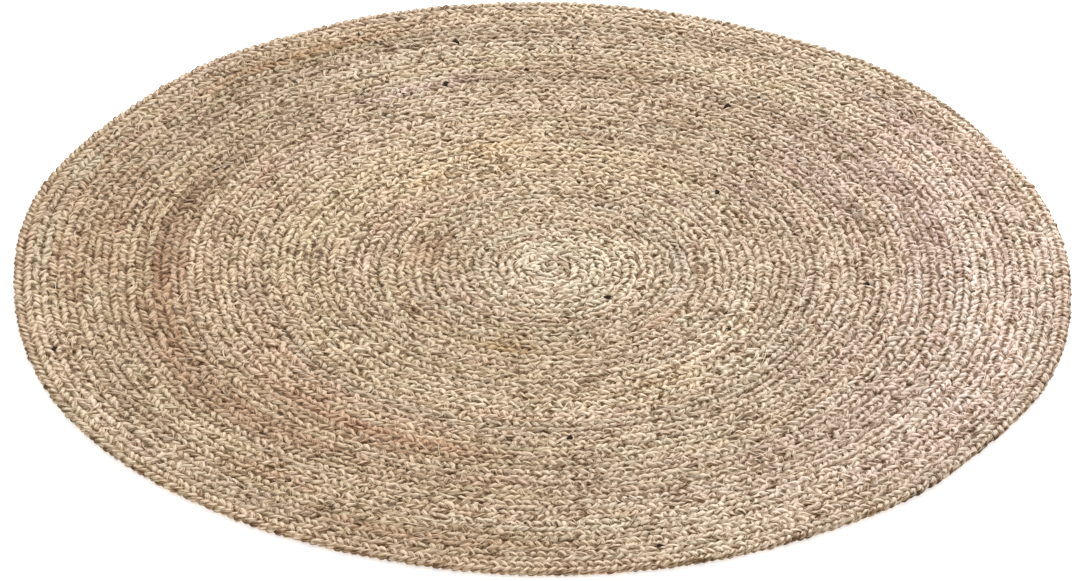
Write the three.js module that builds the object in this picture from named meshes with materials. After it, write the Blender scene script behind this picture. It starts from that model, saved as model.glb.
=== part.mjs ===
// Round plaited rug, lying flat.
//
// The rug is one long three-strand plait of dried grass, wound flat from the middle outwards
// and sewn turn to turn along its edges, so the finished rug is a single flat body. It has no
// backing, binding or fringe. The outermost turn is pulled tighter in some places than in
// others, which leaves the outline a little uneven. The plait runs outwards clockwise, seen
// from above, and its end is tapered off along the rim, where the outline dips.
//
// Millimetres, +Z up. The rug lies on the plane z = 0, with the middle of its box over the
// origin.

import * as THREE from "three";

// Driving dimensions
const DIAMETER = 1200; // across the rug, averaged over its uneven outline
const THICKNESS = 9; // one plait lying flat: its strands cross two deep
const EDGE_ROUND = 3.5; // how far the outer strands round over, above and below
const EDGE_STEPS = 3; // facets in each rounded edge
const OUTLINE_STEPS = 180; // facets around the rim

// Where the rim stands out from an even circle, and where it is pulled in, set by eye.
// angle: degrees, counter-clockwise from +X seen from above. bulge: outwards, to the nearest mm.
const RIM = [
  { angle: 0, bulge: -2 },
  { angle: 20, bulge: -4 }, // the plait's end is tapered off and sewn down here
  { angle: 45, bulge: 3 },
  { angle: 63, bulge: -4 },
  { angle: 90, bulge: 1 },
  { angle: 112, bulge: 5 },
  { angle: 119, bulge: 3 },
  { angle: 130, bulge: 7 },
  { angle: 146, bulge: 1 },
  { angle: 163, bulge: 5 },
  { angle: 186, bulge: -3 },
  { angle: 210, bulge: 1 },
  { angle: 235, bulge: -3 },
  { angle: 252, bulge: -3 },
  { angle: 272, bulge: 2 },
  { angle: 298, bulge: 3 },
  { angle: 312, bulge: 6 },
  { angle: 322, bulge: 2 },
  { angle: 336, bulge: 6 },
];

// The rim's bulge at an angle in degrees: it eases from each row of the table to the next.
function bulgeAt(angle) {
  const after = RIM.findIndex((row) => row.angle > angle);
  const next = after < 0 ? { angle: RIM[0].angle + 360, bulge: RIM[0].bulge } : RIM[after];
  const last = RIM.at(after < 0 ? -1 : after - 1);
  const share = THREE.MathUtils.smoothstep(angle, last.angle, next.angle);
  return THREE.MathUtils.lerp(last.bulge, next.bulge, share);
}

// The outline as seen from above: a closed shape with evenly spread corners.
function rimOutline() {
  const corners = Array.from({ length: OUTLINE_STEPS }, (_, step) => {
    const angle = (360 * step) / OUTLINE_STEPS;
    const radius = DIAMETER / 2 + bulgeAt(angle);
    const turn = THREE.MathUtils.degToRad(angle);
    return new THREE.Vector2(radius * Math.cos(turn), radius * Math.sin(turn));
  });
  return new THREE.Shape(corners);
}

// The body of the rug: the outline at one plait's thickness, with its rim rounded over.
function rugGeometry() {
  const geometry = new THREE.ExtrudeGeometry(rimOutline(), {
    depth: THICKNESS - 2 * EDGE_ROUND,
    bevelEnabled: true,
    bevelThickness: EDGE_ROUND,
    bevelSize: EDGE_ROUND,
    bevelOffset: -EDGE_ROUND,
    bevelSegments: EDGE_STEPS,
  });
  // Stand it on z = 0 with the middle of its box over the origin.
  geometry.computeBoundingBox();
  const { min, max } = geometry.boundingBox;
  geometry.translate(-(min.x + max.x) / 2, -(min.y + max.y) / 2, -min.z);
  return geometry;
}

const driedGrass = new THREE.MeshStandardMaterial({
  name: "dried_grass",
  color: 0xb79f82,
  roughness: 0.8,
  metalness: 0,
});

const rug = new THREE.Mesh(rugGeometry(), driedGrass);
rug.name = "rug";

const model = new THREE.Group();
model.name = "plaited_rug";
model.add(rug);

export default model;
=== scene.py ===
"""A round rug made of one long three-strand plait of dried seagrass, wound flat in a spiral
from the middle outwards and sewn turn to turn. Metres, +Z up, lying on the floor at z = 0."""

import math

import bpy
import numpy as np
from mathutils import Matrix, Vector


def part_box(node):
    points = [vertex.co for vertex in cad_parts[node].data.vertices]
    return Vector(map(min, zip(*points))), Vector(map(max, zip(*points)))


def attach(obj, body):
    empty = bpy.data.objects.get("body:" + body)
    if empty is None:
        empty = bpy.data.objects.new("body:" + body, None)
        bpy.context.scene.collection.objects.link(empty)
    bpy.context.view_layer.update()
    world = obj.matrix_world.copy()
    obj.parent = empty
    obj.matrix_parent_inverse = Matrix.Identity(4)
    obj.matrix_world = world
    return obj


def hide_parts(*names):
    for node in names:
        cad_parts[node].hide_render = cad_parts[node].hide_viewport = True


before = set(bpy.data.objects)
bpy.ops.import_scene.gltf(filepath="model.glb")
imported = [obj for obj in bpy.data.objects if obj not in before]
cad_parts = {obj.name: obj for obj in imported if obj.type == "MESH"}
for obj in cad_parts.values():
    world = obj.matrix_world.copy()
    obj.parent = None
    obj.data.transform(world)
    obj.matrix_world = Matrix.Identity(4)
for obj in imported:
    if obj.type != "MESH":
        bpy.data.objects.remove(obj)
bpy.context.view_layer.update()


# ---- The plait's course ---------------------------------------------------------------------
# The plait starts at the eye of the rug and runs outwards clockwise. Its turns are a little
# narrower towards the rim. The eye sits off centre, so the turns are pulled over towards the
# rim more on one side than on the other, and the plait's end is tapered off.
PLAIT_AT_EYE = 0.0193
PLAIT_AT_RIM = 0.0181
LOBE_PITCH = 0.0099  # along the plait, from one strand's crossing to the next strand's
STRANDS = 3
BEATS = 12  # rings of mesh in one full pass of a strand, edge to edge and back
EYE = (0.011, -0.001)
TIP_ANGLE = math.radians(14)
TAPER_TURNS = 0.11  # share of a turn over which the plait's end is thinned out
THINNEST = 0.25
PULL = 2.2  # how quickly the turns take up the rim's unevenness, from the eye outwards
PLAIT_START = 0.12  # turns from the eye at which the first beat lies
START_WIDTH = 0.8  # of the plait's width, where its start is pressed in at the eye
UNEVEN_PACE = 0.12  # how far the lobes are drawn out or pushed together, as a share
MORE_TURNS = 40  # more than the rug has, for working out where the last one ends

low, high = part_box("rug")
thickness = high.z - low.z
rug_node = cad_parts["rug"]
rng = np.random.default_rng(32)


def rim_from_eye():
    """The rim's reach from the eye, and the angle of each of its corners."""
    corners = np.array([tuple(vertex.co) for vertex in rug_node.data.vertices])
    middle = abs(corners[:, 2] - (low.z + high.z) / 2) < thickness / 4
    across = corners[middle, :2] - EYE
    angle = np.arctan2(across[:, 1], across[:, 0])
    order = np.argsort(angle)
    return angle[order], np.hypot(across[:, 0], across[:, 1])[order]


rim_angle, rim_reach = rim_from_eye()
mean_reach = rim_reach.mean()


def reach_at(angle):
    """The rim's reach from the eye at an angle."""
    return np.interp(angle, rim_angle, rim_reach, period=2 * math.pi)


def drift(along, spacing):
    """Smooth random values from -1 to 1, which change over the given spacing."""
    knots = rng.uniform(-1, 1, int(along.max() / spacing) + 3)
    place = along / spacing
    knot = np.floor(place).astype(int)
    share = place - knot
    share = share * share * (3 - 2 * share)
    return knots[knot] * (1 - share) + knots[knot + 1] * share


def even_radius(turned):
    """How far the plait's middle is from the eye, after turning by an angle, before any pull."""
    narrowing = (PLAIT_AT_RIM - PLAIT_AT_EYE) / mean_reach / (2 * math.pi)
    return PLAIT_AT_EYE / (2 * math.pi) * np.expm1(narrowing * turned) / narrowing


def fullness(turned):
    """The plait's width as a share of its full width: less than 1 only near its end."""
    left = np.clip((last_turned - turned) / (2 * math.pi * TAPER_TURNS), 0, 1)
    return left * left * (3 - 2 * left)


def sway(angle, radius):
    """How far a turn strays in or out, because no hand winds it quite evenly."""
    waves = sum(
        size * np.sin(lobes * angle + radius / reach + start)
        for size, lobes, reach, start in SWAYS
    )
    return waves * np.clip(radius / 0.1, 0, 1) * (1 - (radius / mean_reach) ** 4)


# size: how far out and in, m. lobes: waves in one turn. reach: m of radius in one radian.
SWAYS = [
    (rng.uniform(0.0004, 0.0009), lobes, rng.uniform(0.02, 0.06), rng.uniform(0, 6.28))
    for lobes in (2, 3, 5, 7, 8, 11, 13)
]

fine_turned = np.linspace(0, 2 * math.pi * MORE_TURNS, 2000 * MORE_TURNS + 1)
last_turned = np.interp(mean_reach - PLAIT_AT_RIM / 2, even_radius(fine_turned), fine_turned)


def course(turned):
    """Angle and radius of the plait's middle about the eye, with all its pulls."""
    angle = TIP_ANGLE + last_turned - turned
    hang = PLAIT_AT_RIM / 2 * (1 - fullness(turned))
    radius = even_radius(turned) - hang
    outer = last_turned - (angle - TIP_ANGLE) % (2 * math.pi)
    edge = even_radius(outer) - PLAIT_AT_RIM / 2 + PLAIT_AT_RIM * fullness(outer)
    stretch = reach_at(angle) / edge - 1
    radius = radius * (1 + stretch * np.clip(radius / mean_reach, 0, 1) ** PULL)
    return angle, radius + sway(angle, radius)


def plait_course():
    """For each beat of the plait: its angle and radius, how far along it is, and its width."""
    turned = np.linspace(2 * math.pi * PLAIT_START, last_turned, 120000)
    angle, radius = course(turned)
    place = np.stack([radius * np.cos(angle), radius * np.sin(angle)], axis=1)
    steps = np.linalg.norm(np.diff(place, axis=0), axis=1)
    along = np.concatenate([[0], np.cumsum(steps)])
    pace = 1 + UNEVEN_PACE * drift(along, 0.05)
    paced = np.concatenate([[0], np.cumsum(steps * pace[1:])])
    beat_length = STRANDS * LOBE_PITCH / BEATS
    beats = np.arange(int(paced[-1] / beat_length))
    turned = np.interp(beats * beat_length, paced, turned)
    along = np.interp(beats * beat_length, paced, along)
    angle, radius = course(turned)
    before = np.maximum(turned - 2 * math.pi, 0)
    after = np.minimum(turned + 2 * math.pi, last_turned)
    full, next_full = fullness(turned), fullness(after) + 1e-6
    inside = (radius + course(before)[1] * full) / (1 + full)
    outside = (radius * next_full + course(after)[1] * full) / (full + next_full)
    outermost = turned > last_turned - 2 * math.pi
    outside[outermost] = reach_at(angle[outermost])
    width = np.maximum(outside - inside, PLAIT_AT_RIM * THINNEST)
    width[turned < 2 * math.pi] = PLAIT_AT_EYE
    width *= START_WIDTH + (1 - START_WIDTH) * np.clip(turned / math.pi, 0, 1)
    return angle, radius, along, width


angle, radius, along, width = plait_course()
beats = len(angle)

guide = bpy.data.meshes.new("plait_guide")
centre_height = thickness / 2 * np.minimum(width / PLAIT_AT_RIM, 1)
points = np.stack(
    [EYE[0] + radius * np.cos(angle), EYE[1] + radius * np.sin(angle), centre_height], axis=1
)
guide.from_pydata(points.tolist(), [(i, i + 1) for i in range(beats - 1)], [])


def note(mesh, name, values, kind="FLOAT"):
    """Keeps a value for each point of a guide, for what grows from it."""
    held = mesh.attributes.new(name, kind, "POINT").data
    held.foreach_set("value" if kind == "FLOAT" else "vector", np.ravel(values))


note(guide, "beat", np.arange(beats, dtype=float))
note(guide, "width", width)
note(guide, "course", along)
# The outermost turn: its outer side has no neighbour, and it is drawn tighter than the rest.
note(guide, "rim", along > along[-1] - 2 * math.pi * (mean_reach - PLAIT_AT_RIM / 2))
note(guide, "slack", np.clip((reach_at(angle) - radius) / PLAIT_AT_RIM - 0.3, 0.35, 1))


# ---- The grass's colours along the plait ----------------------------------------------------
# New grass is fed in all along the plait, and each bunch has dried to its own colour, so the
# colour changes in arcs. The middle and the side towards +X and -Y are the palest. On that
# side the broad pale arcs are partly the grass's colour and partly painted light, and the broad
# darkening over the far side, towards +Y, is painted shade.
TONES = {
    "dark": (0.62, 0.60, 0.58),
    "russet": (0.86, 0.75, 0.68),
    "ochre": (0.92, 0.84, 0.70),
    "pale": (1.16, 1.20, 1.25),
    "green": (0.99, 1.03, 1.01),
    "lilac": (1.0, 0.97, 1.06),
    "straw": (1.08, 1.04, 0.96),
}
# (tone, strength, from degrees, to degrees, share of the way to the rim, turns to each side)
# The broad ones come first, and then the single bunches.
BUNCHES = [
    ("pale", 0.5, -180, 180, 0.05, 4.5),
    ("green", 0.8, -180, 180, 0.06, 5),
    ("lilac", 0.6, -45, 40, 0.7, 10),
    # Partly painted light: the next two broad pale arcs, on the side towards +X.
    ("pale", 0.45, -40, 35, 0.9, 4),
    ("pale", 0.8, -78, 5, 0.88, 6),
    ("pale", 0.5, -70, 50, 0.12, 3),
    ("pale", 0.35, -95, 30, 0.3, 4),
    ("pale", 0.45, -120, -30, 0.47, 3),
    ("lilac", 0.6, -60, 45, 0.85, 6),
    # Painted shade: this broad darkening over the far side, towards +Y.
    ("dark", 0.22, 30, 150, 0.7, 12),
    ("dark", 0.2, 115, 175, 0.88, 4),
    ("ochre", 0.25, 150, 290, 0.35, 6),
    ("ochre", 0.25, 140, 275, 0.8, 9),
    ("russet", 0.25, 150, 265, 0.66, 5),
    ("straw", 0.6, 60, 150, 0.4, 4),
    ("pale", 0.3, 20, 75, 0.88, 3),
    ("dark", 1.0, 148, 180, 0.71, 0.6),
    ("russet", 0.6, 150, 195, 0.72, 0.9),
    ("dark", 0.6, 182, 195, 0.555, 0.5),
    ("russet", 0.9, 218, 262, 0.64, 0.9),
    ("dark", 0.6, 258, 268, 0.6, 0.6),
    ("russet", 0.7, 242, 270, 0.92, 1.2),
    ("ochre", 0.9, 110, 133, 0.92, 1.0),
    ("dark", 0.4, 122, 134, 0.92, 0.7),
    ("dark", 0.5, 85, 118, 0.875, 0.5),
    ("dark", 0.5, 126, 146, 0.75, 0.7),
    ("russet", 0.7, 76, 96, 0.74, 0.8),
    ("dark", 0.35, 84, 108, 0.7, 0.5),
    ("russet", 0.7, 182, 235, 0.74, 0.8),
    ("dark", 0.45, 204, 218, 0.89, 0.6),
    ("russet", 0.5, 170, 190, 0.9, 0.7),
    ("russet", 0.7, 226, 240, 0.86, 0.9),
    ("russet", 0.6, 158, 182, 0.84, 1.0),
    ("dark", 0.45, 10, 22, 0.63, 0.5),
    ("lilac", 0.6, 26, 50, 0.62, 1.4),
    ("lilac", 0.5, 0, 30, 0.75, 1.0),
    ("dark", 0.4, 64, 76, 0.57, 0.7),
    ("dark", 0.3, 62, 86, 0.49, 0.8),
    ("russet", 0.8, 150, 180, 0.235, 0.9),
    ("dark", 0.45, 198, 216, 0.25, 0.5),
    ("ochre", 0.9, 244, 264, 0.28, 0.9),
    ("russet", 0.7, 308, 330, 0.27, 0.7),
    ("dark", 0.35, 0, 30, 0.25, 0.5),
    ("pale", 0.6, 148, 182, 0.665, 0.9),
    ("lilac", 0.5, 102, 120, 0.695, 0.7),
    ("pale", 0.5, 104, 120, 0.69, 0.6),
    ("green", 1.2, 148, 172, 0.45, 1.0),
    ("pale", 0.4, 310, 330, 0.52, 0.8),
    ("green", 1.0, 310, 332, 0.53, 0.8),
    ("pale", 0.5, 332, 355, 0.69, 1.0),
    ("green", 1.0, 320, 345, 0.33, 1.0),
    ("straw", 1.0, 95, 112, 0.45, 1.0),
    ("straw", 1.0, 118, 135, 0.38, 0.9),
    ("straw", 1.0, 290, 308, 0.45, 1.0),
    ("pale", 0.4, 146, 166, 0.3, 0.8),
    ("green", 1.0, 186, 200, 0.25, 0.7),
    ("dark", 0.8, 60, 86, 0.025, 0.4),
    ("dark", 0.4, 218, 238, 0.05, 0.5),
]


# (tone, strength): the small changes from one handful of grass to the next
HANDFULS = (("dark", 0.1), ("russet", 0.12), ("green", 0.4), ("lilac", 0.2))
HANDFUL_LENGTHS = (0.05, 0.21, 0.67)  # m of plait
HANK_LENGTH = 0.45  # m of plait
HANK_CHANGE = 0.14  # how much darker or paler one hank of grass is than the next
END_FADE = 12  # degrees over which a bunch's ends fade out, and more for a long bunch


def grass_tint():
    """The colour of the grass at each beat, as a factor on red, green and blue."""
    turn = PLAIT_AT_RIM / mean_reach
    shifts = {name: np.log(np.array(factor)) for name, factor in TONES.items()}
    total = np.zeros((beats, 3))
    share = radius / reach_at(angle)
    degrees = np.degrees(angle)
    for tone, strength, start, end, reach, turns in BUNCHES:
        half = (end - start) / 2
        off = abs((degrees - (start + end) / 2 + 180) % 360 - 180)
        fade = min(half, END_FADE + half / 4)
        soft = np.clip((half - off) / fade + 0.5, 0, 1) if half < 180 else 1.0
        away = abs(share - reach) / (turns * turn)
        total += np.outer(soft * strength * np.exp(-(away**2)), shifts[tone])
    for tone, strength in HANDFULS:
        for spacing in HANDFUL_LENGTHS:
            total += np.outer(drift(along, spacing) * strength, shifts[tone])
    total += np.outer(drift(along, HANK_LENGTH) * HANK_CHANGE, shifts["dark"])
    return np.exp(total)


note(guide, "tint", grass_tint(), "FLOAT_VECTOR")


# ---- The three strands ----------------------------------------------------------------------
# Each strand swings from edge to edge of the plait, over the others on its way out and under
# them on its way back, so the top face shows two rows of slanting lobes to each turn.
SWING = 0.345  # how far a strand's middle swings, as a share of the plait's width
DWELL = -0.05  # how long it keeps to the edges
TUCK = 0.6  # how much lower it crosses the middle than it turns at the edges
STRAND_WIDTH = 0.0072
STRAND_HEIGHT = 0.0054
SIDES = 6
SIX_SIDED = 1.15  # a circle's height over that of the six-sided section inside it
WAVE = 0.6  # how far a strand rises and dips, as a share of the room in the plait
LIFT = 0.35  # how far its middle is raised, as a share of the same
PROUD = 1.6  # how far it strays up and down from there, as a share of the same
SWELL = 1.8  # how much it thickens and thins along its length
CUT = 4  # the beat of each pass at which a strand is well under the others
CLEARANCE = 0.0002  # m that every point keeps above the floor
ZONES = ("eye", "inner", "middle", "outer", "rim")


class Wire:
    """An output of a node. Arithmetic on it adds Math nodes to the node's tree."""

    def __init__(self, tree, node, socket):
        self.tree = tree
        self.node = node
        self.socket = socket

    def out(self, name):
        """Another output of the same node."""
        found = next(s for s in self.node.outputs if s.name == name and s.enabled)
        return Wire(self.tree, self.node, found)

    def maths(self, operation, *values):
        return self.tree.node("ShaderNodeMath", {"operation": operation}, values)

    def __add__(self, other):
        return self.maths("ADD", self, other)

    def __sub__(self, other):
        return self.maths("SUBTRACT", self, other)

    def __mul__(self, other):
        return self.maths("MULTIPLY", self, other)

    def __truediv__(self, other):
        return self.maths("DIVIDE", self, other)

    def __rsub__(self, other):
        return self.maths("SUBTRACT", other, self)

    def __gt__(self, other):
        return self.maths("GREATER_THAN", self, other)

    def __lt__(self, other):
        return self.maths("LESS_THAN", self, other)

    __radd__ = __add__
    __rmul__ = __mul__

    def sin(self):
        return self.maths("SINE", self)

    def cos(self):
        return self.maths("COSINE", self)

    def absolute(self):
        return self.maths("ABSOLUTE", self)

    def floor(self):
        return self.maths("FLOOR", self)

    def at_least(self, other):
        return self.maths("MAXIMUM", self, other)

    def at_most(self, other):
        return self.maths("MINIMUM", self, other)

    def between(self, start, end):
        """0 up to start, 1 from end, and a smooth step between them."""
        return self.tree.node(
            "ShaderNodeMapRange",
            {"interpolation_type": "SMOOTHSTEP"},
            (self, start, end, 0.0, 1.0),
        )


class Tree:
    """A node tree, of a material or of Geometry Nodes, that is written as expressions."""

    def __init__(self, tree):
        self.tree = tree

    def node(self, kind, settings=None, inputs=()):
        """Adds a node and gives its first output. inputs are in order, or by name."""
        made = self.tree.nodes.new(kind)
        for name, value in (settings or {}).items():
            setattr(made, name, value)
        sockets = [s for s in made.inputs if s.enabled]
        if isinstance(inputs, dict):
            pairs = [(next(s for s in sockets if s.name == k), v) for k, v in inputs.items()]
        else:
            pairs = list(zip(sockets, inputs))
        for socket, value in pairs:
            for one in value if isinstance(value, list) else [value]:
                if isinstance(one, Wire):
                    self.tree.links.new(one.socket, socket)
                else:
                    socket.default_value = one
        outputs = [s for s in made.outputs if s.enabled]
        return Wire(self, made, outputs[0] if outputs else None)

    def vector(self, x, y, z):
        return self.node("ShaderNodeCombineXYZ", {}, (x, y, z))

    def vectors(self, operation, *values):
        return self.node("ShaderNodeVectorMath", {"operation": operation}, values)

    def scaled(self, vector, by):
        inputs = {"Vector": vector, "Scale": by}
        return self.node("ShaderNodeVectorMath", {"operation": "SCALE"}, inputs)

    def parts(self, vector):
        split = self.node("ShaderNodeSeparateXYZ", {}, (vector,))
        return split.out("X"), split.out("Y"), split.out("Z")

    def noise(self, vector, detail=2.0):
        """Noise about 0, with features about 1 across in the vector's own units."""
        inputs = {"Vector": vector, "Scale": 1.0, "Detail": detail}
        return self.node("ShaderNodeTexNoise", {}, inputs) - 0.5

    def chance(self, vector):
        """An even random value from 0 to 1 for each vector."""
        return self.node("ShaderNodeTexWhiteNoise", {}, {"Vector": vector})

    def mix(self, share, start, end):
        inputs = {"Factor": share, "A": start, "B": end}
        return self.node("ShaderNodeMix", {"data_type": "RGBA"}, inputs)


class Growth(Tree):
    """A Geometry Nodes tree with named inputs, which grows pieces from a guide."""

    def __init__(self, name):
        super().__init__(bpy.data.node_groups.new(name, "GeometryNodeTree"))
        self.tree.interface.new_socket(
            "Geometry", in_out="OUTPUT", socket_type="NodeSocketGeometry"
        )
        self.start = self.node("NodeGroupInput")

    def given(self, name, kind, default=None):
        """A named input of the tree."""
        socket = self.tree.interface.new_socket(name, in_out="INPUT", socket_type=kind)
        if default is not None:
            socket.default_value = default
        return Wire(self, self.start.node, self.start.node.outputs[name])

    def attribute(self, name, kind="FLOAT"):
        return self.node("GeometryNodeInputNamedAttribute", {"data_type": kind}, {"Name": name})

    def keep(self, geometry, name, value, kind="FLOAT"):
        """Stores a value on the geometry's points, for the finish to read."""
        settings = {"data_type": kind, "domain": "POINT"}
        inputs = {"Geometry": geometry, "Name": name, "Value": value}
        return self.node("GeometryNodeStoreNamedAttribute", settings, inputs)

    def place(self, geometry, how, vector):
        """Moves points: how is Offset, or Position."""
        return self.node("GeometryNodeSetPosition", {}, {"Geometry": geometry, how: vector})

    def finish(self, geometry, finish):
        """Keeps the piece off the floor and ends the tree in plain geometry with its finish."""
        x, y, z = self.parts(self.node("GeometryNodeInputPosition"))
        above = self.place(geometry, "Position", self.vector(x, y, z.at_least(CLEARANCE)))
        smooth = self.node("GeometryNodeSetShadeSmooth", {}, {"Geometry": above})
        plain = self.node("GeometryNodeRealizeInstances", {}, {"Geometry": smooth})
        done = self.node("GeometryNodeSetMaterial", {}, {"Geometry": plain, "Material": finish})
        self.node("NodeGroupOutput", {}, (done,))

    def grow(self, name, guide_mesh, **values):
        """Runs the tree on a guide and gives the plain piece that it makes."""
        piece = bpy.data.objects.new(name, guide_mesh)
        bpy.context.scene.collection.objects.link(piece)
        modifier = piece.modifiers.new("growth", "NODES")
        modifier.node_group = self.tree
        for item in self.tree.interface.items_tree:
            if item.in_out == "INPUT" and item.name in values:
                modifier[item.identifier] = values[item.name]
        view = bpy.context.evaluated_depsgraph_get()
        mesh = bpy.data.meshes.new_from_object(piece.evaluated_get(view))
        piece.modifiers.clear()
        piece.data = mesh
        return piece


def grass_finish():
    """Dried seagrass: straw to light brown, streaked along each strand, painted darkest in the
    gaps as shade.
    """
    finish = bpy.data.materials.new("dried_grass")
    finish.use_nodes = True
    finish.node_tree.nodes.clear()
    tree = Tree(finish.node_tree)

    def read(name, output="Fac"):
        return tree.node("ShaderNodeAttribute", {"attribute_name": name}).out(output)

    # x and y are the place in the strand's own section, and lay is the way along the strand.
    x, y, _ = tree.parts(read("section", "Vector"))
    lay, strand, own, along = read("lay"), read("strand"), read("own"), read("course")

    # Single blades twist round the strand as they run along it. Fibres are finer and straight.
    spun = {"Vector": tree.vector(x * 430, y * 430, 0.0), "Angle": lay * 60 + strand * 2.0}
    spun = tree.node("ShaderNodeVectorRotate", {"rotation_type": "Z_AXIS"}, spun)
    along_blade = tree.vector(0.0, 0.0, lay * 190 + strand * 31.7)
    blades = tree.noise(tree.vectors("ADD", spun, along_blade), 2.0)
    fibres = tree.noise(tree.vector(x * 1500, y * 1500, lay * 130 + strand * 7.3), 1.0)

    # Every lobe, stretch of strand and row of lobes has its own lightness.
    crossing = ((own - 4.5) / (BEATS / 2)).floor()
    lobe = tree.chance(tree.vector(crossing, strand, 0.0))
    lobe_hue = tree.chance(tree.vector(crossing, strand, 9.0))
    stretch = tree.noise(tree.vector(strand * 5.7, along * 14, 3.0), 2.0)
    phase = own * (4 * math.pi / BEATS)
    side = (phase * 0.5).sin() > 0
    row = tree.noise(tree.vector(side * 9.7, along * 60, 7.0), 2.0)

    # A painted highlight, partly wear, makes a lobe pale on its crown. Painted shade dims its
    # flanks and dims it as it dives under the next one, and makes a dark pit where some dive.
    crest = phase.sin() * 0.97 - phase.cos() * 0.25
    flank_shade = (x.absolute() / (STRAND_WIDTH / 2)).between(0.0, 0.8)
    crown_wear_and_highlight = crest.between(0.5, 1.0) * (1.0 - flank_shade)
    dive_shading = crest.between(-1.0, 0.4)
    pit_shade = (1.0 - crest.between(-0.9, 0.1)) * (lobe_hue > 0.88)

    # Broken lines of painted shade run between the rows of lobes, dark in some places and pale in
    # others. Painted shade also makes the groove along the middle of each turn a little darker,
    # and the rug's outer side too.
    offside = read("offside")
    row_gap_shade = ((offside.absolute() - 0.25).absolute() * 4).between(0.3, 1.2)
    dashes = tree.noise(tree.vector(along * 110, side * 4.1, 5.0), 1.0)
    row_gap_shade = row_gap_shade * (tree.noise(tree.vector(along * 9, 0.0, 11.0), 1.0) + dashes * 2.2 + 0.1)
    middle_groove_shade = 1.0 - offside.absolute().between(0.02, 0.15)
    edge = offside.between(0.15, 0.5) * read("rim")

    # Painted highlight and painted shade are added to the grass's own tone here.
    light = dive_shading * 0.2 + crown_wear_and_highlight * (lobe * 0.3 + 0.15) + blades * 3.1 + fibres * 1.4 + row * 0.4
    light = light - (lobe_hue < 0.1) * 0.3 + stretch * 0.3
    light = light - row_gap_shade - pit_shade * 0.8 - middle_groove_shade * 0.35 - edge * 0.3 + 0.45
    dark, brown = (0.08, 0.042, 0.016, 1), (0.25, 0.152, 0.078, 1)
    straw, cream = (0.44, 0.325, 0.215, 1), (0.78, 0.635, 0.49, 1)
    colour = tree.mix(light.between(-0.4, 0.2), dark, brown)
    colour = tree.mix(light.between(0.0, 0.5), colour, straw)
    colour = tree.mix(light.between(0.35, 1.1), colour, cream)
    rosy = tree.mix(lobe_hue, (1.02, 0.99, 0.97, 1), (0.985, 1.01, 0.995, 1))
    colour = tree.vectors("MULTIPLY", colour, rosy)
    colour = tree.vectors("MULTIPLY", colour, read("tint", "Vector"))
    bump = tree.node(
        "ShaderNodeBump", {}, {"Height": blades, "Strength": 0.8, "Distance": 0.0025}
    )
    shader = tree.node(
        "ShaderNodeBsdfPrincipled",
        {},
        {"Base Color": colour, "Roughness": 0.7, "Specular IOR Level": 0.2, "Normal": bump},
    )
    tree.node("ShaderNodeOutputMaterial", {}, (shader,))
    return finish


grass = grass_finish()


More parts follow.
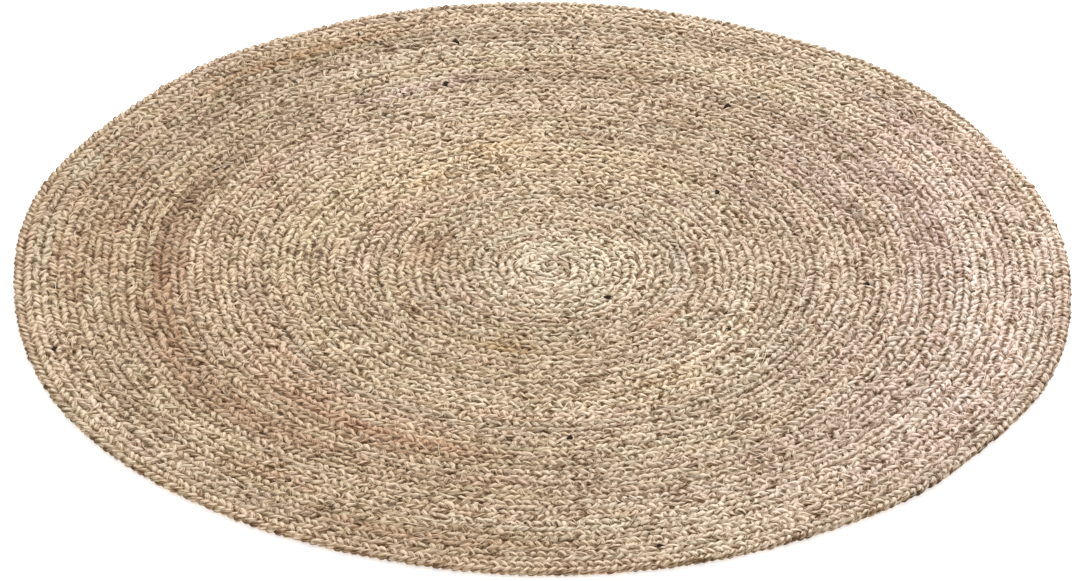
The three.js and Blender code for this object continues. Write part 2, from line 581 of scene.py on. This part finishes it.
def plaiting():
    """The tree that lays three strands along the plait's guide."""
    tree = Growth("plaiting")
    path = tree.given("Geometry", "NodeSocketGeometry")
    first = tree.given("First beat", "NodeSocketFloat", 0.0)
    last = tree.given("Last beat", "NodeSocketFloat", 1e6)
    swing = tree.given("Swing", "NodeSocketFloat", SWING)
    dwell = tree.given("Dwell", "NodeSocketFloat", DWELL)
    tuck = tree.given("Tuck", "NodeSocketFloat", TUCK)
    strand_width = tree.given("Strand width", "NodeSocketFloat", STRAND_WIDTH)
    strand_height = tree.given("Strand height", "NodeSocketFloat", STRAND_HEIGHT)
    beat = tree.attribute("beat")
    width = tree.attribute("width")
    slack = tree.attribute("slack")
    tangent = tree.node("GeometryNodeInputTangent")
    across = tree.vectors("NORMALIZE", tree.vectors("CROSS_PRODUCT", (0, 0, 1), tangent))
    share = width / PLAIT_AT_RIM
    rise = (thickness - strand_height) / 2 * share.at_most(1.0)

    strands = []
    for index in range(STRANDS):
        own = beat + index * BEATS / STRANDS
        spare = (own < first) + (own > last)
        inputs = {"Geometry": path, "Selection": spare}
        cut = tree.node("GeometryNodeDeleteGeometry", {"domain": "POINT"}, inputs)
        curve = tree.node("GeometryNodeMeshToCurve", {}, (cut,))
        curve = tree.node("GeometryNodeSetCurveNormal", {"mode": "Z_UP"}, {"Curve": curve})
        phase = own * (2 * math.pi / BEATS)
        # No strand lies quite true: it strays sideways, stands proud and crosses early or late.
        loose = tree.noise(tree.vector(own * 0.23, index * 7.1, 0.0), 1.0) * slack
        proud = tree.noise(tree.vector(own * 0.26, index * 7.1, 40.0), 1.0) * slack
        early = tree.noise(tree.vector(own * 0.25, index * 7.1, 20.0), 1.0) * slack
        sideways = (phase.sin() + dwell * (phase * 3.0).sin()) * swing + loose
        upwards = (phase * 2.0).sin() - (phase * 2.0).cos() * tuck
        # It is flattened at its highest and lowest, where it is pulled tight on the others.
        upwards = upwards / math.hypot(1, TUCK)
        upwards = upwards * (1.5 - upwards * upwards * 0.5)
        upwards = (upwards * WAVE + proud * PROUD + LIFT) * rise
        aside = tree.scaled(across, sideways * width)
        ahead = tree.scaled(tangent, early * width)
        curve = tree.keep(curve, "own", own)
        curve = tree.keep(curve, "spine", tree.node("GeometryNodeInputPosition"), "FLOAT_VECTOR")
        curve = tree.keep(curve, "crosswise", across, "FLOAT_VECTOR")
        curve = tree.keep(curve, "strand", float(index))
        curve = tree.keep(curve, "lay", tree.node("GeometryNodeSplineParameter").out("Length"))
        offset = tree.vectors("ADD", aside, tree.vector(0.0, 0.0, upwards))
        offset = tree.vectors("ADD", offset, ahead)
        strands.append(tree.place(curve, "Offset", offset))
    bundle = tree.node("GeometryNodeJoinGeometry", {}, {"Geometry": strands})

    ring = tree.node("GeometryNodeCurvePrimitiveCircle", {}, {"Resolution": SIDES, "Radius": 0.5})
    oval = tree.vector(strand_width, strand_height * SIX_SIDED, 0.0)
    oval = tree.vectors("MULTIPLY", tree.node("GeometryNodeInputPosition"), oval)
    ring = tree.place(ring, "Position", oval)
    ring = tree.keep(ring, "section", tree.node("GeometryNodeInputPosition"), "FLOAT_VECTOR")
    swell = tree.noise(tree.vector(tree.attribute("own") * 0.3, tree.attribute("strand"), 80.0))
    scale = width / PLAIT_AT_RIM * (swell * slack * SWELL + 1.0)
    inputs = {"Curve": bundle, "Profile Curve": ring, "Scale": scale, "Fill Caps": True}
    tube = tree.node("GeometryNodeCurveToMesh", {}, inputs)
    spine = tree.attribute("spine", "FLOAT_VECTOR")
    crosswise = tree.attribute("crosswise", "FLOAT_VECTOR")
    reach = tree.vectors("SUBTRACT", tree.node("GeometryNodeInputPosition"), spine)
    reach = tree.vectors("DOT_PRODUCT", reach, crosswise)
    tube = tree.keep(tube, "offside", reach / width)
    tree.finish(tube, grass)
    return tree


# Each mesh takes up a strand where the one before left it, deep under the other two.
plaiting_tree = plaiting()
edges = np.round(np.linspace(0, beats / BEATS, len(ZONES) + 1)).astype(int)
for zone, start, end in zip(ZONES, edges, edges[1:]):
    cuts = {
        "First beat": float(start * BEATS + CUT) - 0.5 if start else 0.0,
        "Last beat": float(end * BEATS + CUT) + 0.5,
    }
    piece = plaiting_tree.grow(f"plait_{zone}", guide, **cuts)
    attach(piece, "root")


# ---- The body of the rug --------------------------------------------------------------------
# Inside the plait its strands press together, and the sewing thread pulls the turns against
# each other. This sheet is that packed middle, seen only as the dark of the deepest gaps, and
# its dark brown colour is painted shade.
BODY_STEPS = 240
BODY_INSET = 0.4  # of the plait's width, in from the rim
BODY_BOTTOM, BODY_TOP = 0.2, 0.65  # of the rug's thickness


def packed_finish():
    """Packed grass, in a dark brown that is painted shade from the strands above it."""
    finish = bpy.data.materials.new("packed_grass_painted_shade")
    finish.use_nodes = True
    shader = finish.node_tree.nodes["Principled BSDF"]
    # A dark brown that stands in as painted shade.
    shader.inputs["Base Color"].default_value = (0.19, 0.125, 0.075, 1)
    shader.inputs["Roughness"].default_value = 0.9
    return finish


def rug_body():
    """A flat closed sheet a little inside the rim: two fans from the eye, and a wall."""
    steps = BODY_STEPS
    angles = np.linspace(0, 2 * math.pi, steps, endpoint=False)
    reach = reach_at(angles) - PLAIT_AT_RIM * BODY_INSET
    ring = np.stack([EYE[0] + reach * np.cos(angles), EYE[1] + reach * np.sin(angles)], axis=1)
    bottom, top = thickness * BODY_BOTTOM, thickness * BODY_TOP
    vertices = [(x, y, bottom) for x, y in ring] + [(x, y, top) for x, y in ring]
    vertices += [(EYE[0], EYE[1], bottom), (EYE[0], EYE[1], top)]
    faces = []
    for i in range(steps):
        j = (i + 1) % steps
        faces += [
            (i, j, steps + j, steps + i),
            (steps + i, steps + j, 2 * steps + 1),
            (j, i, 2 * steps),
        ]
    mesh = bpy.data.meshes.new("rug_body")
    mesh.from_pydata(vertices, [], faces)
    mesh.materials.append(packed_finish())
    piece = bpy.data.objects.new("rug_body", mesh)
    bpy.context.scene.collection.objects.link(piece)
    return piece


body = rug_body()
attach(body, "root")
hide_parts("rug")


# ---- Loose ends of grass --------------------------------------------------------------------
# Where bunches were fed in, ends of grass have worked out of the plait and lie across it. Most
# are pale straws, and the short dark ones are bits of husk. The biggest of these are near black,
# partly husk and partly painted shade for deep holes between the lobes. Only the plait holds
# them.
STRAWS = 700
HUSKS = 170
SCRAPS = 11  # the biggest bits of husk, darkest of all
# (degrees, share of the way to the rim): scraps that catch the eye. The rest lie anywhere.
PLACED_SCRAPS = [(315, 0.15), (107, 0.7), (197, 0.95)]
STRAW_LENGTHS = (0.010, 0.044)  # most are nearer the shorter
STRAW_BREADTHS = (0.0010, 0.0020)
HUSK_LENGTHS = (0.003, 0.008)
HUSK_BREADTHS = (0.0012, 0.0024)
SCRAP_LENGTHS = (0.008, 0.016)
SCRAP_BREADTH = 0.4  # of its length
# Near black: partly the dark of husk and partly painted shade for deep holes between lobes.
SCRAP_HUSK_AND_SHADE_COLOUR = (0.035, 0.02, 0.01)
STRAW_TAPER = 0.7  # how much of its breadth a straw has lost at its tips
STRAW_BEND = 1.3  # how far its tips bend aside, in breadths
STRAW_DROOP = 1.1  # how far its tips droop, in breadths
STRAW_SIDES = 4
STRAW_RINGS = 5


def loose_guide():
    """A point for each loose end, with its heading, its size and its colour."""
    count = STRAWS + HUSKS
    husk = np.arange(count) >= STRAWS
    around = rng.uniform(0, 2 * math.pi, count)
    share = np.sqrt(rng.uniform(0.0005, 0.95, count))
    placed = np.array(PLACED_SCRAPS).T
    around[-len(PLACED_SCRAPS) :] = np.radians(placed[0])
    share[-len(PLACED_SCRAPS) :] = placed[1]
    reach = reach_at(around) * share
    height = thickness + rng.uniform(-0.0002, 0.0005, count)
    middle = [EYE[0] + reach * np.cos(around), EYE[1] + reach * np.sin(around), height]
    mesh = bpy.data.meshes.new("loose_guide")
    mesh.from_pydata(np.stack(middle, axis=1).tolist(), [], [])
    shortest, longest = STRAW_LENGTHS
    lengths = shortest + (longest - shortest) * rng.uniform(0, 1, count) ** 2
    breadths = rng.uniform(*STRAW_BREADTHS, count)
    note(mesh, "heading", around + math.pi / 2 + rng.normal(0, 0.6, count))
    lengths = np.where(husk, rng.uniform(*HUSK_LENGTHS, count), lengths)
    lengths[-SCRAPS:] = rng.uniform(*SCRAP_LENGTHS, SCRAPS)
    breadths = np.where(husk, rng.uniform(*HUSK_BREADTHS, count), breadths)
    breadths[-SCRAPS:] = lengths[-SCRAPS:] * SCRAP_BREADTH
    note(mesh, "length", lengths)
    note(mesh, "breadth", breadths)
    shade = np.where(husk, rng.uniform(0.03, 0.12, count), rng.uniform(0.45, 0.85, count))
    tints = np.outer(shade, (1, 0.82, 0.62))
    tints[husk] *= (1, 0.85, 0.7)
    tints[-SCRAPS:] = SCRAP_HUSK_AND_SHADE_COLOUR
    note(mesh, "tint", tints, "FLOAT_VECTOR")
    return mesh


def straw_finish():
    """A loose end of grass, in its own colour."""
    finish = bpy.data.materials.new("loose_grass")
    finish.use_nodes = True
    finish.node_tree.nodes.clear()
    tree = Tree(finish.node_tree)
    tint = tree.node("ShaderNodeAttribute", {"attribute_name": "tint"}).out("Vector")
    inputs = {"Base Color": tint, "Roughness": 0.9, "Specular IOR Level": 0.2}
    shader = tree.node("ShaderNodeBsdfPrincipled", {}, inputs)
    tree.node("ShaderNodeOutputMaterial", {}, (shader,))
    return finish


def scattering():
    """The tree that lays a thin tapered straw, drooping at its ends, on each point."""
    tree = Growth("scattering")
    spots = tree.given("Geometry", "NodeSocketGeometry")
    inputs = {"Start": (-0.5, 0, 0), "End": (0.5, 0, 0)}
    line = tree.node("GeometryNodeCurvePrimitiveLine", {}, inputs)
    inputs = {"Curve": line, "Count": STRAW_RINGS}
    line = tree.node("GeometryNodeResampleCurve", {}, inputs)
    bend = tree.parts(tree.node("GeometryNodeInputPosition"))[0]
    bend = bend * bend * 4.0
    inputs = {"Resolution": STRAW_SIDES, "Radius": 0.5}
    ring = tree.node("GeometryNodeCurvePrimitiveCircle", {}, inputs)
    scale = 1.0 - bend * STRAW_TAPER
    inputs = {"Curve": line, "Profile Curve": ring, "Scale": scale, "Fill Caps": True}
    straw = tree.node("GeometryNodeCurveToMesh", {}, inputs)
    offset = tree.vector(0.0, bend * STRAW_BEND, bend * -STRAW_DROOP)
    straw = tree.place(straw, "Offset", offset)
    breadth = tree.attribute("breadth")
    turn = tree.vector(0.0, 0.0, tree.attribute("heading"))
    inputs = {
        "Points": spots,
        "Instance": straw,
        "Rotation": tree.node("FunctionNodeEulerToRotation", {}, (turn,)),
        "Scale": tree.vector(tree.attribute("length"), breadth, breadth),
    }
    tree.finish(tree.node("GeometryNodeInstanceOnPoints", {}, inputs), straw_finish())
    return tree


loose_ends = scattering().grow("loose_ends", loose_guide())
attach(loose_ends, "root")


# ---- Floor, light and camera ----------------------------------------------------------------
# The rug lies on a plain pale floor under an even sky, with one broad soft lamp behind it. The
# camera is well back with a long lens, and looks down by about a third of a right angle.
FLOOR_SIZE = 60.0
LAMP_PLACE = (0.7, 2.8, 3.0)
LAMP_SIZE = 2.0
LAMP_POWER = 150
SKY_STRENGTH = 0.8
ELEVATION = math.radians(32.59)
DISTANCE = 7.37
LENS = 217.5  # mm, over a sensor of 36 mm
AIM = Vector((-0.0016, -0.0360, 0.0))


def floor():
    """The floor. It gives off a little light of its own, so that it is nearly white."""
    mesh = bpy.data.meshes.new("floor")
    half = FLOOR_SIZE / 2
    mesh.from_pydata(
        [(-half, -half, 0), (half, -half, 0), (half, half, 0), (-half, half, 0)],
        [],
        [(0, 1, 2, 3)],
    )
    finish = bpy.data.materials.new("floor")
    finish.use_nodes = True
    shader = finish.node_tree.nodes["Principled BSDF"]
    shader.inputs["Base Color"].default_value = (0.9, 0.9, 0.9, 1)
    shader.inputs["Roughness"].default_value = 0.9
    shader.inputs["Emission Color"].default_value = (1, 1, 1, 1)
    shader.inputs["Emission Strength"].default_value = 0.5
    mesh.materials.append(finish)
    piece = bpy.data.objects.new("floor", mesh)
    bpy.context.scene.collection.objects.link(piece)
    return piece


ground = floor()


def softbox(name, place, size, power):
    """A round soft lamp that faces the rug."""
    light = bpy.data.lights.new(name, "AREA")
    light.shape = "DISK"
    light.size = size
    light.energy = power
    lamp = bpy.data.objects.new(name, light)
    lamp.location = place
    lamp.rotation_euler = (-Vector(place)).to_track_quat("-Z", "Y").to_euler()
    bpy.context.scene.collection.objects.link(lamp)


softbox("key", LAMP_PLACE, LAMP_SIZE, LAMP_POWER)
world = bpy.data.worlds.new("studio")
world.use_nodes = True
world.node_tree.nodes["Background"].inputs["Color"].default_value = (1, 1, 1, 1)
world.node_tree.nodes["Background"].inputs["Strength"].default_value = SKY_STRENGTH
bpy.context.scene.world = world
bpy.context.scene.view_settings.view_transform = "Standard"

camera = bpy.data.cameras.new("camera")
camera.lens = LENS
camera.sensor_width = 36
camera.clip_end = 100
viewer = bpy.data.objects.new("camera", camera)
back = Vector((0, -math.cos(ELEVATION), math.sin(ELEVATION)))
viewer.location = AIM + back * DISTANCE
viewer.rotation_euler = back.to_track_quat("Z", "Y").to_euler()
bpy.context.scene.collection.objects.link(viewer)
bpy.context.scene.camera = viewer
